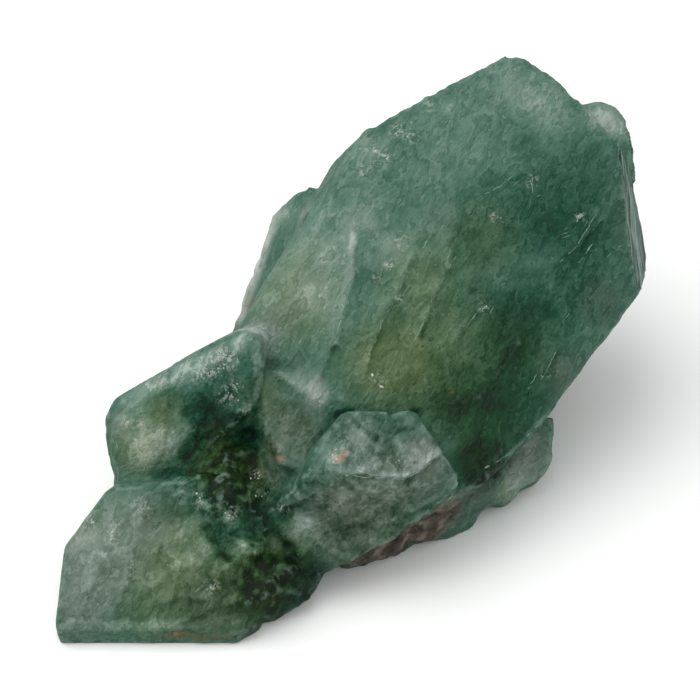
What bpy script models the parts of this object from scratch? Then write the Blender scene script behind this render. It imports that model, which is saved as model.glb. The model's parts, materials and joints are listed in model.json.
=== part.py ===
"""A chlorite quartz specimen: one stout crystal leaning back over smaller ones on a scrap of matrix, one solid."""

import math

import bmesh
import bpy
from mathutils import Matrix, Vector

MM = 0.001
OUTSIDE = 200.0

# Places below are measured in millimetres from the specimen's front left; this one becomes the origin
FOOTPRINT_MIDDLE = (36.42, 35.0, 0.0)

# How far a crystal's edges are worn down, and the bluntest corner that still shows wear
WEAR = 0.35
WORN_CORNER = math.radians(16)
SHORTEST_EDGE = 0.05

# Colours seen from a step away, as red, green and blue shares of white
CHLORITE_GREEN = (0.16, 0.27, 0.20)
QUARTZ_ROUGHNESS = 0.32

# The turn from one chip of a matrix knob to the next, and how unevenly deep the chips go
GOLDEN_TURN = 2.39996
CHIP_JITTER = 0.10

# The angle from a quartz crystal's long axis to the normal of an end face, in degrees
END = 51.8

# The stout crystal's broad face: a point on it, then its compass heading and how far it looks up
MAIN_ORIGIN = (45.5, 40.0, 26.0)
MAIN_LOOKS = (-80, 57)
MAIN_DEPTH = 25.0
LAYER_THICKNESS = 0.25
LAYER_ROOT = 0.4

# The lowest crystal's broad face, told the same way
LOW_ORIGIN = (13.5, 7.4, 8.5)
LOW_LOOKS = (-92, 40)


def placed(point):
    """A place measured in millimetres, as metres from the middle of the footprint."""
    return (Vector(point) - Vector(FOOTPRINT_MIDDLE)) * MM


def face_axes(heading, rise):
    """Right, up and outward for a face that looks along this compass heading and this far above the horizon."""
    turn, tilt = math.radians(heading), math.radians(rise)
    outward = Vector((math.cos(turn) * math.cos(tilt), math.sin(turn) * math.cos(tilt), math.sin(tilt)))
    right = Vector((0, 0, 1)).cross(outward).normalized()
    return right, outward.cross(right), outward


def line_plane(axes, start, end, slope):
    """The plane through a line on the face, turned from the face by the slope, out past the line's left side."""
    right, up, outward = axes
    across, along = end[0] - start[0], end[1] - start[1]
    length = math.hypot(across, along)
    away = right * (-along / length) + up * (across / length)
    turn = math.radians(slope)
    return right * start[0] + up * start[1], outward * math.cos(turn) + away * math.sin(turn)


def convex(name, planes, reach, wear):
    """A block round the origin, cut by each plane, with its sharper edges worn."""
    bm = bmesh.new()
    bmesh.ops.create_cube(bm, size=2 * reach)
    for point, normal in planes:
        parts = bm.verts[:] + bm.edges[:] + bm.faces[:]
        cut = bmesh.ops.bisect_plane(
            bm, geom=parts, dist=1e-4, plane_co=point, plane_no=normal, clear_outer=True
        )
        rim = [e for e in cut["geom_cut"] if isinstance(e, bmesh.types.BMEdge)]
        if rim:
            bmesh.ops.edgeloop_fill(bm, edges=rim)
    bmesh.ops.remove_doubles(bm, verts=bm.verts, dist=SHORTEST_EDGE)
    bmesh.ops.recalc_face_normals(bm, faces=bm.faces)
    if wear:
        corners = [e for e in bm.edges if e.calc_face_angle(0) > WORN_CORNER]
        bmesh.ops.bevel(bm, geom=corners, offset=wear, segments=1, affect="EDGES", clamp_overlap=True)
    bmesh.ops.scale(bm, vec=(MM, MM, MM), verts=bm.verts)
    mesh = bpy.data.meshes.new(name)
    bm.to_mesh(mesh)
    bm.free()
    thing = bpy.data.objects.new(name, mesh)
    bpy.context.scene.collection.objects.link(thing)
    return thing


def slab(name, origin, looks, outline, depth, cuts=(), wear=WEAR):
    """One crystal or lump, told by the face that shows.

    The outline runs clockwise as (right, up, slope of the side that starts there), and each cut takes off
    all beyond the line between two points on the face, at the slope given.
    """
    axes = face_axes(*looks)
    planes = [(Vector((0, 0, 0)), axes[2]), (axes[2] * -depth, -axes[2])]
    for start, end in zip(outline, outline[1:] + outline[:1]):
        planes.append(line_plane(axes, start, end, start[2]))
    for x0, y0, x1, y1, slope in cuts:
        planes.append(line_plane(axes, (x0, y0), (x1, y1), slope))
    thing = convex(name, planes, OUTSIDE, wear)
    thing.location = placed(origin)
    return thing


def main_crystal():
    outline = [
        (-25.3, -5.0, 98),
        (-10.8, 16.3, 102),
        (11.8, 25.7, 100),
        (15.6, 25.2, 100),
        (21.0, 18.2, 100),
        (25.9, 10.0, 88),
        (26.9, -3.2, 95),
        (21.6, -9.2, 105),
        (10.1, -20.9, 100),
        (0.9, -27.6, 95),
        (-6.0, -29.5, 80),
        (-22.5, -18.5, 85),
    ]
    cuts = [
        (-23.5, -6.0, -7.8, 14.8, 62),
        (-8.0, 12.5, 12.5, 22.5, 14),
        (11.0, 23.5, 18.5, 17.0, 16),
        (24.0, 12.0, 22.6, -5.0, 62),
        (22.0, 2.0, 4.0, -18.0, 10),
        (20.5, -4.5, 5.0, -21.0, 38),
        (-14.4, -15.9, -22.4, -8.0, 42),
        (-33.5, -4.0, -16.5, 21.0, 122),
        (-15.0, 20.5, 12.5, 33.5, 128),
        (17.5, 31.5, 30.5, 15.0, 128),
        (33.5, 12.0, 33.5, -5.0, 122),
        (30.0, -5.0, 15.0, -25.0, 122),
    ]
    return slab("main_crystal", MAIN_ORIGIN, MAIN_LOOKS, outline, MAIN_DEPTH, cuts)


def side_plate():
    outline = [
        (4.4, -9.5, 80), (-1.0, -4.6, 85), (-4.9, -0.9, 80), (-8.2, 2.2, 75), (-7.0, 5.6, 80), (-6.3, 8.6, 90),
        (3.0, 8.4, 90), (8.0, -2.0, 90), (8.0, -9.0, 90),
    ]
    return slab("side_plate", (25.4, 45.0, 22.0), (-170, 40), outline, 5.0)


def lower_facet():
    """The stout crystal's lower left corner, a step down from its broad face, behind the front crystal."""
    outline = [
        (-0.8, -5.7, 60), (-2.0, -2.9, 60), (-2.9, 2.5, 74), (-2.3, 6.4, 80), (2.1, 4.6, 80), (7.0, 1.5, 90),
        (6.6, -2.1, 90), (3.1, -6.4, 90),
    ]
    return slab("lower_facet", (27.4, 22.5, 16.5), (-80, 50), outline, 8.0)


def shoulder():
    outline = [
        (-6.0, 4.0, 105), (-1.4, 4.6, 100), (0.4, 4.6, 100), (2.3, 3.3, 95), (3.1, 1.0, 95), (1.8, -7.0, 105),
        (-8.0, -8.0, 90),
    ]
    return slab("shoulder", (66.4, 57.4, 32.1), (-70, 55), outline, 12.0)


def front_crystal():
    outline = [
        (-6.4, 5.8, 90), (11.0, 6.2, 80), (11.6, 4.9, 105), (9.6, 2.6, 115), (4.5, -1.4, 120),
        (-4.7, -6.1, 90), (-10.5, 0.2, 95), (-10.7, 2.5, 95),
    ]
    return slab("front_crystal", (36.0, 12.0, 9.0), (-88, 30), outline, 14.0)


def front_cap():
    """The growth layer that stands a little proud over the top of the front crystal, and ends in a ledge."""
    outline = [
        (-8.6, -3.1, 78), (-6.4, 0.9, 80), (-3.5, 4.2, 95), (4.5, 3.7, 85), (8.7, -4.2, 80), (6.0, -4.9, 60),
        (0.0, -5.2, 60), (-4.4, -4.6, 40),
    ]
    return slab("front_cap", (38.0, 17.5, 17.2), (-85, 58), outline, 12.0)


def low_crystal():
    outline = [
        (-11.1, 1.3, 88), (-8.6, 4.6, 90), (-5.9, 8.3, 90), (6.0, 9.5, 85), (19.0, -1.2, 90), (14.0, -7.2, 80),
        (10.4, -9.4, 80), (10.2, -12.0, 90), (-11.0, -12.0, 90), (-11.6, -8.0, 85), (-11.5, -4.0, 85),
    ]
    cuts = [
        (-6.0, 6.6, 7.0, 5.6, 24),
        (-3.0, 8.4, 8.0, 6.8, 48),
        (6.6, 9.0, 8.6, -10.0, 17),
        (10.6, 9.0, 12.0, -9.0, 42),
        (13.5, -4.0, 7.2, -9.6, 70),
        (4.6, 3.6, 7.6, -0.4, 20),
        (9.5, -7.0, -10.5, -8.0, 38),
        (-11.0, -8.0, -8.0, 4.0, 22),
        (9.4, 0.4, 1.6, -8.0, 9),
    ]
    return slab("low_crystal", LOW_ORIGIN, LOW_LOOKS, outline, 16.0, cuts)


def middle_crystal():
    outline = [
        (-8.9, -4.5, 85), (-8.8, -2.1, 85), (-8.0, 0.3, 85), (-5.6, 1.9, 90), (1.7, 7.0, 90), (5.8, 9.4, 90),
        (8.5, 9.0, 90), (9.0, 0.0, 90), (8.0, -9.5, 90), (-7.3, -9.5, 90),
    ]
    cuts = [
        (-8.4, -1.4, 6.0, 8.2, 48),
        (8.5, 1.5, -0.5, -8.5, 60),
        (-13.0, -8.0, -13.0, 2.0, 120),
        (-11.0, 2.5, 3.0, 12.5, 125),
    ]
    return slab("middle_crystal", (15.5, 22.5, 18.0), (-98, 32), outline, 17.0, cuts)


def middle_lump():
    outline = [
        (-8.0, -4.5, 70), (-7.7, -2.1, 60), (-6.4, -0.8, 38), (-4.2, 0.3, 32), (-3.2, -0.8, 30), (-3.2, -7.0, 45),
        (-4.0, -9.5, 80), (-6.9, -8.8, 75),
    ]
    cuts = [(-7.8, -2.1, 6.6, 7.4, 48)]
    return slab("middle_lump", (15.4, 21.6, 18.4), (-98, 32), outline, 3.0, cuts)


def upper_fragment():
    outline = [(-2.6, 4.4, 85), (4.9, 3.8, 85), (5.4, 2.8, 85), (2.1, -1.0, 85), (1.5, -2.7, 85), (-4.0, -3.5, 85)]
    return slab("upper_fragment", (57.0, 27.7, 6.2), (-70, 50), outline, 12.0)


def lower_fragment():
    outline = [(-8.0, 1.4, 85), (0.0, -0.5, 85), (-0.6, -2.8, 85), (-1.3, -3.9, 85), (-2.7, -4.8, 85), (-8.0, -3.6, 85)]
    return slab("lower_fragment", (55.5, 27.3, 5.8), (-75, 50), outline, 10.0)


def rock(name, centre, radii, turn, chips=26):
    """A broken knob of matrix: a squashed ball told by this many flat chips, spread evenly and a little uneven."""
    planes = []
    for k in range(chips):
        height = 1 - (2 * k + 1) / chips
        around = k * GOLDEN_TURN + math.radians(turn)
        flat = math.sqrt(1 - height * height)
        away = Vector((flat * math.cos(around), flat * math.sin(around), height))
        reach = 1 + CHIP_JITTER * math.sin(5 * k + centre[0])
        touch = Vector([a * r * reach for a, r in zip(away, radii)])
        planes.append((touch, Vector([a / r for a, r in zip(away, radii)]).normalized()))
    turned = Matrix.Rotation(math.radians(turn), 3, "Z")
    thing = convex(name, [(turned @ p, turned @ n) for p, n in planes], OUTSIDE, WEAR)
    thing.location = placed(centre)
    return thing


def matrix_rocks():
    """The matrix that shows below the front crystal and under the stout one, from left to right, then the back."""
    rocks = [
        ((25.6, 10.2, 2.9), (7.4, 4.6, 4.2), 44),
        ((37.2, 18.9, 2.5), (6.6, 4.6, 4.0), 30),
        ((43.6, 22.3, 3.0), (6.6, 4.8, 4.8), 22),
        ((49.3, 26.2, 3.3), (5.0, 4.3, 4.0), 40),
        ((25.5, 20.5, 7.6), (5.5, 4.5, 4.0), 10),
        ((21.3, 19.6, 8.6), (7.0, 8.0, 5.0), 25),
        ((14.4, 29.0, 4.6), (8.6, 7.0, 8.4), 60),
        ((22.0, 39.5, 5.0), (10.0, 8.0, 8.5), 40),
        ((34.0, 48.0, 4.5), (12.0, 8.5, 9.0), 10),
        ((48.0, 48.5, 4.5), (9.5, 8.5, 8.5), -30),
        ((52.2, 38.0, 4.0), (5.6, 9.0, 7.5), -15),
    ]
    return [rock("matrix_rock_%d" % i, *size) for i, size in enumerate(rocks)]


def matrix_bed():
    outline = [
        (-28.0, -18.0, 80), (-23.0, 2.0, 75), (-9.0, 17.0, 80), (8.0, 20.0, 75),
        (18.0, 15.0, 80), (20.5, 6.0, 80), (17.0, -5.8, 80), (9.8, -10.4, 80),
        (3.2, -13.0, 80), (-5.8, -19.2, 80), (-15.4, -26.0, 80), (-28.0, -25.0, 80),
    ]
    return slab("matrix_bed", (37.0, 33.0, 8.5), (-90, 84), outline, 16.0)


def growth_layer():
    """The last layer of growth on the stout crystal, a hair thick, which stops short of the face's edges."""
    outline = [
        (-9.6, 4.2, 50), (-4.0, 10.5, 45), (8.0, 18.0, 45), (17.0, 13.0, 45), (20.0, 4.0, 45), (11.5, -7.5, 45),
        (2.0, -17.5, 45), (-8.0, -18.0, 45), (-14.6, -15.6, 50), (-14.0, -9.0, 50), (-11.8, -2.4, 50),
    ]
    proud = face_axes(*MAIN_LOOKS)[2] * LAYER_THICKNESS
    return slab("growth_layer", Vector(MAIN_ORIGIN) + proud, MAIN_LOOKS, outline, LAYER_THICKNESS + LAYER_ROOT, wear=0)


def quartz_point(name, foot, heading, rise, width, length):
    """A small whole crystal: six sides and six end faces that meet at its tip."""
    axis, up, side = face_axes(heading, rise)[2], *face_axes(heading, rise)[:2]
    planes = [(axis * -length, -axis)]
    lean = math.radians(END)
    for k in range(6):
        around = math.radians(60 * k + heading)
        away = up * math.cos(around) + side * math.sin(around)
        planes.append((away * width / 2, away))
        planes.append((axis * length, axis * math.cos(lean) + away * math.sin(lean)))
    thing = convex(name, planes, OUTSIDE, 0)
    thing.location = placed(foot)
    return thing


def druse():
    """The crust of small crystals in the hollow between the left crystals and the front one."""
    points = [
        ((18.0, 12.0, 12.6), -120, 58, 2.6, 2.2),
        ((20.0, 12.8, 12.4), -70, 50, 2.2, 2.4),
        ((21.4, 13.0, 10.8), -40, 38, 2.4, 2.0),
        ((22.8, 15.6, 11.2), -80, 62, 2.8, 2.4),
        ((20.1, 15.3, 12.9), -104, 61, 2.3, 2.4),
        ((23.6, 12.6, 8.6), -30, 44, 2.0, 2.0),
        ((17.4, 15.0, 13.4), -140, 60, 2.0, 2.0),
        ((25.2, 15.0, 9.8), -60, 48, 2.2, 2.2),
    ]
    return [quartz_point("druse_%d" % i, *size) for i, size in enumerate(points)]


def dent(name, origin, looks, right, up, radius, depth):
    """The ball that leaves a round dent this deep at one place on a face."""
    axes = face_axes(*looks)
    bm = bmesh.new()
    bmesh.ops.create_icosphere(bm, subdivisions=3, radius=radius * MM)
    mesh = bpy.data.meshes.new(name)
    bm.to_mesh(mesh)
    bm.free()
    thing = bpy.data.objects.new(name, mesh)
    bpy.context.scene.collection.objects.link(thing)
    thing.location = placed(Vector(origin) + axes[0] * right + axes[1] * up + axes[2] * (radius - depth))
    return thing


def dents():
    """Two shell-shaped chips near the stout crystal's top edge, its pits, then the lowest crystal's pits."""
    on_main = [
        (-5.4, 13.0, 5.0, 0.3), (0.4, 16.0, 6.0, 0.3), (-14.0, -9.6, 0.6, 0.5), (6.4, -8.6, 0.5, 0.45),
        (8.2, -10.6, 0.5, 0.4), (3.6, -4.4, 0.5, 0.4), (14.2, 2.0, 0.5, 0.4),
    ]
    on_low = [
        (-6.2, -2.6, 0.5, 0.35), (-2.1, -4.6, 0.5, 0.35), (-5.0, -5.3, 0.5, 0.35), (-3.9, -3.4, 0.6, 0.4),
        (-2.6, -1.9, 0.45, 0.3), (6.3, -2.9, 0.6, 0.3),
    ]
    made = [dent("main_dent_%d" % i, MAIN_ORIGIN, MAIN_LOOKS, *size) for i, size in enumerate(on_main)]
    return made + [dent("low_dent_%d" % i, LOW_ORIGIN, LOW_LOOKS, *size) for i, size in enumerate(on_low)]


def chlorite_quartz():
    """Cloudy quartz, green from the chlorite shut inside it, with a dull glassy surface."""
    material = bpy.data.materials.new("chlorite_quartz")
    material.use_nodes = True
    surface = material.node_tree.nodes["Principled BSDF"]
    surface.inputs["Base Color"].default_value = (*CHLORITE_GREEN, 1)
    surface.inputs["Roughness"].default_value = QUARTZ_ROUGHNESS
    surface.inputs["Metallic"].default_value = 0
    return material


def helper(thing):
    """Keeps a shape that only adds to another, or cuts it, out of the render."""
    thing.hide_render = True
    thing.display_type = "WIRE"


def combine(body, other, operation):
    step = body.modifiers.new(other.name, "BOOLEAN")
    step.operation = operation
    step.solver = "EXACT"
    step.object = other
    helper(other)


def ground():
    """Everything below the flat where the specimen was sawn off its rock."""
    side = [(-OUTSIDE, OUTSIDE, 90), (OUTSIDE, OUTSIDE, 90), (OUTSIDE, -OUTSIDE, 90), (-OUTSIDE, -OUTSIDE, 90)]
    return slab("ground", FOOTPRINT_MIDDLE, (-90, 90), side, OUTSIDE, wear=0)


for old in list(bpy.data.objects):
    bpy.data.objects.remove(old)
body = matrix_bed()
grown = [main_crystal(), side_plate(), lower_facet(), shoulder(), low_crystal(), front_crystal(), front_cap()]
grown += [middle_crystal(), middle_lump(), upper_fragment(), lower_fragment(), growth_layer()]
grown += matrix_rocks() + druse()
for thing in grown:
    combine(body, thing, "UNION")
for hollow in dents() + [ground()]:
    combine(body, hollow, "DIFFERENCE")
body.name = "quartz_cluster"
body.data.materials.append(chlorite_quartz())
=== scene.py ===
"""The look of a chlorite quartz specimen: cloudy green crystals on a scrap of matrix, softly lit."""

import json
import math
import random

import bmesh
import bpy
import numpy as np
from mathutils import Matrix, Vector
from mathutils.bvhtree import BVHTree

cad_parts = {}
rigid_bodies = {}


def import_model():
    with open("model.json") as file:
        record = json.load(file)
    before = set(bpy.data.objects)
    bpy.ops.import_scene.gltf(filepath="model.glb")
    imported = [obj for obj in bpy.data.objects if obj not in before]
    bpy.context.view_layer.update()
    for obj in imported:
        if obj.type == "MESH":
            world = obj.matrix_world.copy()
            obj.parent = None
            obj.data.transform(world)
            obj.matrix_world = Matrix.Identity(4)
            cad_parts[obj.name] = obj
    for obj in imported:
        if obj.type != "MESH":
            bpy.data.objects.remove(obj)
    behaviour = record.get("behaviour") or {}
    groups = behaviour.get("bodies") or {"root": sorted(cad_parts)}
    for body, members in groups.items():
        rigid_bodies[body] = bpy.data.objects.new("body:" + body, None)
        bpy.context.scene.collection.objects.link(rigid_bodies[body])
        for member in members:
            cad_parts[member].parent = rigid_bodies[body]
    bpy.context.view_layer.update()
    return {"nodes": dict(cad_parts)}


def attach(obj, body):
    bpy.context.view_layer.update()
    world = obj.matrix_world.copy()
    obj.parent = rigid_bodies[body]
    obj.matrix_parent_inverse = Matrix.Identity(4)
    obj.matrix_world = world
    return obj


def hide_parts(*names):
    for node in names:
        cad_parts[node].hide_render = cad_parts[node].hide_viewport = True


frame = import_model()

MM = 0.001

# The camera looks at the middle of the specimen from its front, this far up and this far off, in millimetres
LOOKED_AT = Vector((-1.62, 1.30, 15.2))
CAMERA_RISE = math.radians(40)
CAMERA_OFF = 280.0
CAMERA_LENS = 120.0
SENSOR_WIDTH = 36.0
PHOTO_SIDE = 700

# The mesh's step over the surface in millimetres, and the passes that round a worn edge
SKIN_STEP = 0.37
ROUNDING_PASSES = 2
# Passes that spread a sharp edge out, to read how sharp it was
SPREADING_PASSES = 4
# Passes that level out pits and creases where the way that the stone looks is wanted on the whole
LEVELLING_PASSES = 20
# The height over the sawn underside at which the unevenness is in full, in millimetres
SAWN_HEIGHT = 0.35
# How far a step or a line strays from the places it is told by, in millimetres
LINE_WANDER = 0.3
# The lowest that the painted chlorite, with the painted shade in it, goes anywhere, so that the darkest
# stone stays green
THICKEST = 0.05
# How high matrix clings to the hidden sides, in millimetres
MATRIX_TOP = 12.0
# How straight the stone looks at the camera, as a cosine: where it is hidden, and where it is seen
HIDDEN_SEEN = (-0.35, 0.05)
# How nearly a place looks the way that a spot is told to look, as a cosine: where the spot fades in
SPOT_ALIKE = (0.86, 0.96)

# The stout crystal's broad face: its compass heading and how far it looks up
MAIN_LOOKS = (-80, 57)
# How far from upright the growth lines lean on that face, and how far the fine marks across them do
MAIN_LEAN = math.radians(34)
MARKS_LEAN = math.radians(52)
# The narrow combed side at the stout crystal's right, told the same way, and the way its grooves run
COMBED_LOOKS = (-10, 21)
GROOVE_WAY = Vector((0.01, -0.81, -0.58))
# Where the combing fades in: rightwards in millimetres, and by how nearly a place looks the side's way
COMBED_FROM = (29, 31)
COMBED_ALIKE = (0.88, 0.96)


def face_axes(heading, rise):
    """Right, up and outward for a face with this compass heading that looks this far above the horizon."""
    turn, tilt = math.radians(heading), math.radians(rise)
    outward = Vector((math.cos(turn) * math.cos(tilt), math.sin(turn) * math.cos(tilt), math.sin(tilt)))
    right = Vector((0, 0, 1)).cross(outward).normalized()
    return right, outward.cross(right), outward


def drawn_along(way, beside):
    """The turn whose X runs along a way, for patterns that are drawn out along it."""
    across = beside.cross(way).normalized()
    return Matrix((way.normalized(), across, way.normalized().cross(across))).transposed()


def growth_turn(lean=MAIN_LEAN):
    """Along, across and out of the lines on the stout crystal's face that lean over this far."""
    right, up, outward = face_axes(*MAIN_LOOKS)
    return drawn_along(right * math.sin(lean) + up * math.cos(lean), outward)


def groove_turn():
    return drawn_along(GROOVE_WAY, face_axes(*COMBED_LOOKS)[2])


def ease(low, high, values):
    """0 below low, 1 above high and a smooth rise between."""
    share = np.clip((values - low) / (high - low), 0, 1)
    return share * share * (3 - 2 * share)


def draw(cells, seed):
    """A fixed draw from 0 to 1 for each whole-numbered corner, mixed by large primes and bit shifts."""
    mixed = cells @ np.array([73856093, 19349663, 83492791]) + seed * 15485863
    mixed = (mixed ^ (mixed >> 13)) * 1274126177 & 0x7FFFFFFF
    mixed = (mixed ^ (mixed >> 16)) * 668265263 & 0x7FFFFFFF
    return (mixed >> 7 & 0xFFFF) / 0xFFFF


def cloud(places, size, seed):
    """Smooth unevenness from -1 to 1, in lumps about this many millimetres across."""
    scaled = places / size
    corner = np.floor(scaled).astype(np.int64)
    part = scaled - corner
    part = part * part * (3 - 2 * part)
    total = np.zeros(len(places))
    for step in np.ndindex(2, 2, 2):
        share = np.prod(np.where(step, part, 1 - part), axis=1)
        total += share * draw(corner + step, seed)
    return 2 * total - 1


def billow(places, size, seed, octaves=3):
    """Clouds within clouds, each half as wide and half as strong as the one before."""
    return sum(cloud(places, size / 2**k, seed + k) / 2**k for k in range(octaves))


def camera_axes():
    """Right, up and back towards the camera."""
    back = Vector((0, -math.cos(CAMERA_RISE), math.sin(CAMERA_RISE)))
    right = Vector((1, 0, 0))
    return right, back.cross(right), back


def fine_skin(source):
    """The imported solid's surface as a fine even mesh."""
    remesh = source.modifiers.new("even", "REMESH")
    remesh.mode = "VOXEL"
    remesh.voxel_size = SKIN_STEP * MM
    graph = bpy.context.evaluated_depsgraph_get()
    skin = bpy.data.meshes.new_from_object(source.evaluated_get(graph))
    source.modifiers.remove(remesh)
    return skin


def neighbour_mean(values, edges, count):
    """Each point's mean over the points that it shares an edge with."""
    here, there = np.concatenate([edges, edges[:, ::-1]]).T
    sums = [np.bincount(here, values[there, k], len(values)) for k in range(3)]
    return np.stack(sums, axis=1) / count


class Skin:
    """The fine surface's points in millimetres, where the solid looks at each, and how sharp it is there."""

    def __init__(self, packed):
        mesh = packed.data.copy()
        mesh.transform(packed.matrix_world)
        source = bpy.data.objects.new("skin_source", mesh)
        bpy.context.scene.collection.objects.link(source)
        self.mesh = fine_skin(source)
        self.solid = BVHTree.FromObject(source, bpy.context.evaluated_depsgraph_get())
        bpy.data.objects.remove(source)
        size = len(self.mesh.vertices)
        self.facing = np.zeros((size, 3))
        for vertex in self.mesh.vertices:
            vertex.co, self.facing[vertex.index], _, _ = self.solid.find_nearest(vertex.co)
        flat = np.zeros(size * 3, np.float32)
        self.mesh.vertices.foreach_get("co", flat)
        self.places = flat.reshape(-1, 3).astype(float) / MM
        ends = np.zeros(len(self.mesh.edges) * 2, np.int32)
        self.mesh.edges.foreach_get("vertices", ends)
        self.edges = ends.reshape(-1, 2)
        self.count = np.maximum(np.bincount(ends, minlength=size), 1)[:, None]
        for _ in range(ROUNDING_PASSES):
            self.places = 0.5 * self.places + 0.5 * neighbour_mean(self.places, self.edges, self.count)
        self.refresh()
        wide = self.places
        for _ in range(SPREADING_PASSES):
            wide = neighbour_mean(wide, self.edges, self.count)
        self.sharp = np.einsum("ij,ij->i", self.places - wide, self.normals)

    def refresh(self):
        """Puts the moved points back in the mesh and reads its normals."""
        self.mesh.vertices.foreach_set("co", (self.places * MM).astype(np.float32).reshape(-1))
        self.mesh.update()
        flat = np.zeros(len(self.places) * 3, np.float32)
        self.mesh.vertices.foreach_get("normal", flat)
        self.normals = flat.reshape(-1, 3).astype(float)

    def seen_at(self, across, down, tree=None):
        """The place that the photograph shows at these pixels, in millimetres, and where the stone looks."""
        right, up, back = camera_axes()
        eye = (LOOKED_AT + back * CAMERA_OFF) * MM
        per_pixel = SENSOR_WIDTH / CAMERA_LENS / PHOTO_SIDE
        way = right * (across - PHOTO_SIDE / 2) * per_pixel + up * (PHOTO_SIDE / 2 - down) * per_pixel - back
        place, normal, _, _ = (tree or self.solid).ray_cast(eye, way)
        if not place and not tree:
            place, normal, _, _ = self.solid.find_nearest(eye + way * CAMERA_OFF * MM)
        return (place / MM, normal) if place else (None, None)

    def near(self, across, down, reach, looks=None):
        """How close each point is to a spot: 1 there, 0 past its reach or where it looks another way."""
        spot, _ = self.seen_at(across, down)
        away = np.linalg.norm(self.places - np.array(spot), axis=1) / reach
        share = 1 - ease(0, 1, away)
        if looks:
            cosine = self.facing @ np.array(face_axes(*looks)[2])
            share = share * ease(*SPOT_ALIKE, cosine)
        return share

    def total(self, spots):
        """The sum over spots told as across, down, reach, strength and, at choice, the way they look."""
        return sum(
            self.near(across, down, reach, *looks) * strength
            for across, down, reach, strength, *looks in spots
        )

    def left_of(self, run):
        """Each point's distance in millimetres from a line through told spots, above 0 on its left."""
        spots = [self.seen_at(*spot) for spot in run]
        nearest = np.full(len(self.places), np.inf)
        for (start, normal), (end, _) in zip(spots, spots[1:]):
            way = np.array(end - start)
            off = self.places - np.array(start)
            gap = off - np.clip(off @ way / (way @ way), 0, 1)[:, None] * way
            away = np.linalg.norm(gap, axis=1) * np.where(gap @ np.cross(np.array(normal), way) < 0, -1, 1)
            nearest = np.where(np.abs(away) < np.abs(nearest), away, nearest)
        return nearest + LINE_WANDER * cloud(self.places, 1.4, 61)

    def melt(self, across, down, reach, passes):
        """Lets a corner run soft, as where growth has healed over a join, most at the spot."""
        share = self.near(across, down, reach)
        close = np.flatnonzero(share > 0)
        for _ in range(passes):
            mean = neighbour_mean(self.places, self.edges, self.count)
            self.places[close] += share[close, None] * (mean - self.places)[close]

    def paint(self, name, values):
        """Stores a value from 0 to 1 at each point, for the quartz's colour to read."""
        layer = self.mesh.attributes.new(name, "FLOAT", "POINT")
        layer.data.foreach_set("value", np.clip(values, 0, 1).astype(np.float32))

    def push(self, heights):
        """Moves each point out along its normal by a height in millimetres, less near the sawn underside."""
        free = ease(0, SAWN_HEIGHT, self.places[:, 2])
        self.places = self.places + self.normals * (heights * free)[:, None]
        self.refresh()


# Every spot below is told by where the photograph shows it, across and down in its 700 pixels, and then by
# its reach in millimetres over the stone

# Corners that growth healed over, and how soft they run
HEALED_CORNERS = [
    (258, 325, 5, 24), (272, 292, 5, 24), (288, 257, 5, 24), (305, 222, 5, 24), (325, 190, 4, 16),
    (120, 484, 4, 16), (150, 484, 6, 40), (190, 488, 6, 50), (232, 505, 6, 40), (245, 560, 6, 24),
    (162, 440, 5, 20), (165, 405, 4, 16), (80, 560, 6, 16), (318, 500, 5, 12), (300, 388, 4, 14),
    (262, 400, 4, 10),
]

# Where the surface is broken and lumpy, and by how many millimetres
BROKEN_PLACES = [
    (215, 455, 7, 0.5), (240, 485, 6, 0.7), (205, 500, 6, 0.6), (235, 525, 5, 0.6), (272, 490, 5, 0.4),
    (262, 570, 7, 0.6), (290, 590, 6, 0.6), (225, 360, 4, 0.3), (75, 610, 4, 0.2), (250, 550, 4, 0.4),
    (180, 480, 5, 0.4),
]

# Where the stone is paler or darker: partly where the chlorite lies thin or thick, and partly painted light
# and shade, paler towards the upper left and darker towards the lower right, with painted shade in hollows,
# gaps and
# under the crystals. The broad face's upper half:
CHLORITE_AND_PAINTED_LIGHT_SPOTS = [
    (450, 120, 11, 0.16), (515, 80, 8, 0.28), (560, 110, 7, 0.22), (370, 150, 5, 0.27),
    (330, 192, 4, -0.12), (350, 220, 10, 0.28), (430, 175, 8, 0.10), (500, 150, 6, 0.06),
    (580, 170, 6, -0.12), (550, 210, 7, -0.24), (600, 210, 6, -0.13), (580, 250, 7, -0.24),
    (530, 250, 6, -0.08), (480, 240, 6, -0.12), (500, 200, 7, -0.06), (420, 240, 5, 0.10),
    (292, 272, 8, 0.27), (285, 215, 4, 0.28), (262, 300, 3, 0.18), (258, 332, 5, 0.52), (320, 300, 5, 0.12),
    (606, 122, 5, 0.58),
]
# The broad face's lower half, darker towards the lower right with painted shade, darkest in the painted
# shadow of the crevice at its foot
CHLORITE_AND_PAINTED_LIGHT_SPOTS += [
    (350, 300, 6, 0.10), (305, 322, 5, 0.10), (350, 370, 5, 0.04), (430, 350, 6, -0.04),
    (410, 285, 6, 0.08), (385, 375, 5, 0.10), (470, 300, 5, -0.08), (400, 390, 4, -0.04),
    (560, 300, 6, -0.14), (520, 300, 6, -0.14), (520, 350, 9, -0.34), (480, 390, 6, -0.22),
    (520, 400, 6, -0.14), (450, 410, 5, -0.30), (500, 440, 8, -0.30), (480, 466, 5, -0.50),
    (562, 372, 5, 0.06), (600, 300, 5, -0.06), (320, 392, 4, 0.12), (280, 420, 6, -0.08),
    (300, 440, 4, 0.06), (262, 392, 4, 0.06),
]
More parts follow.
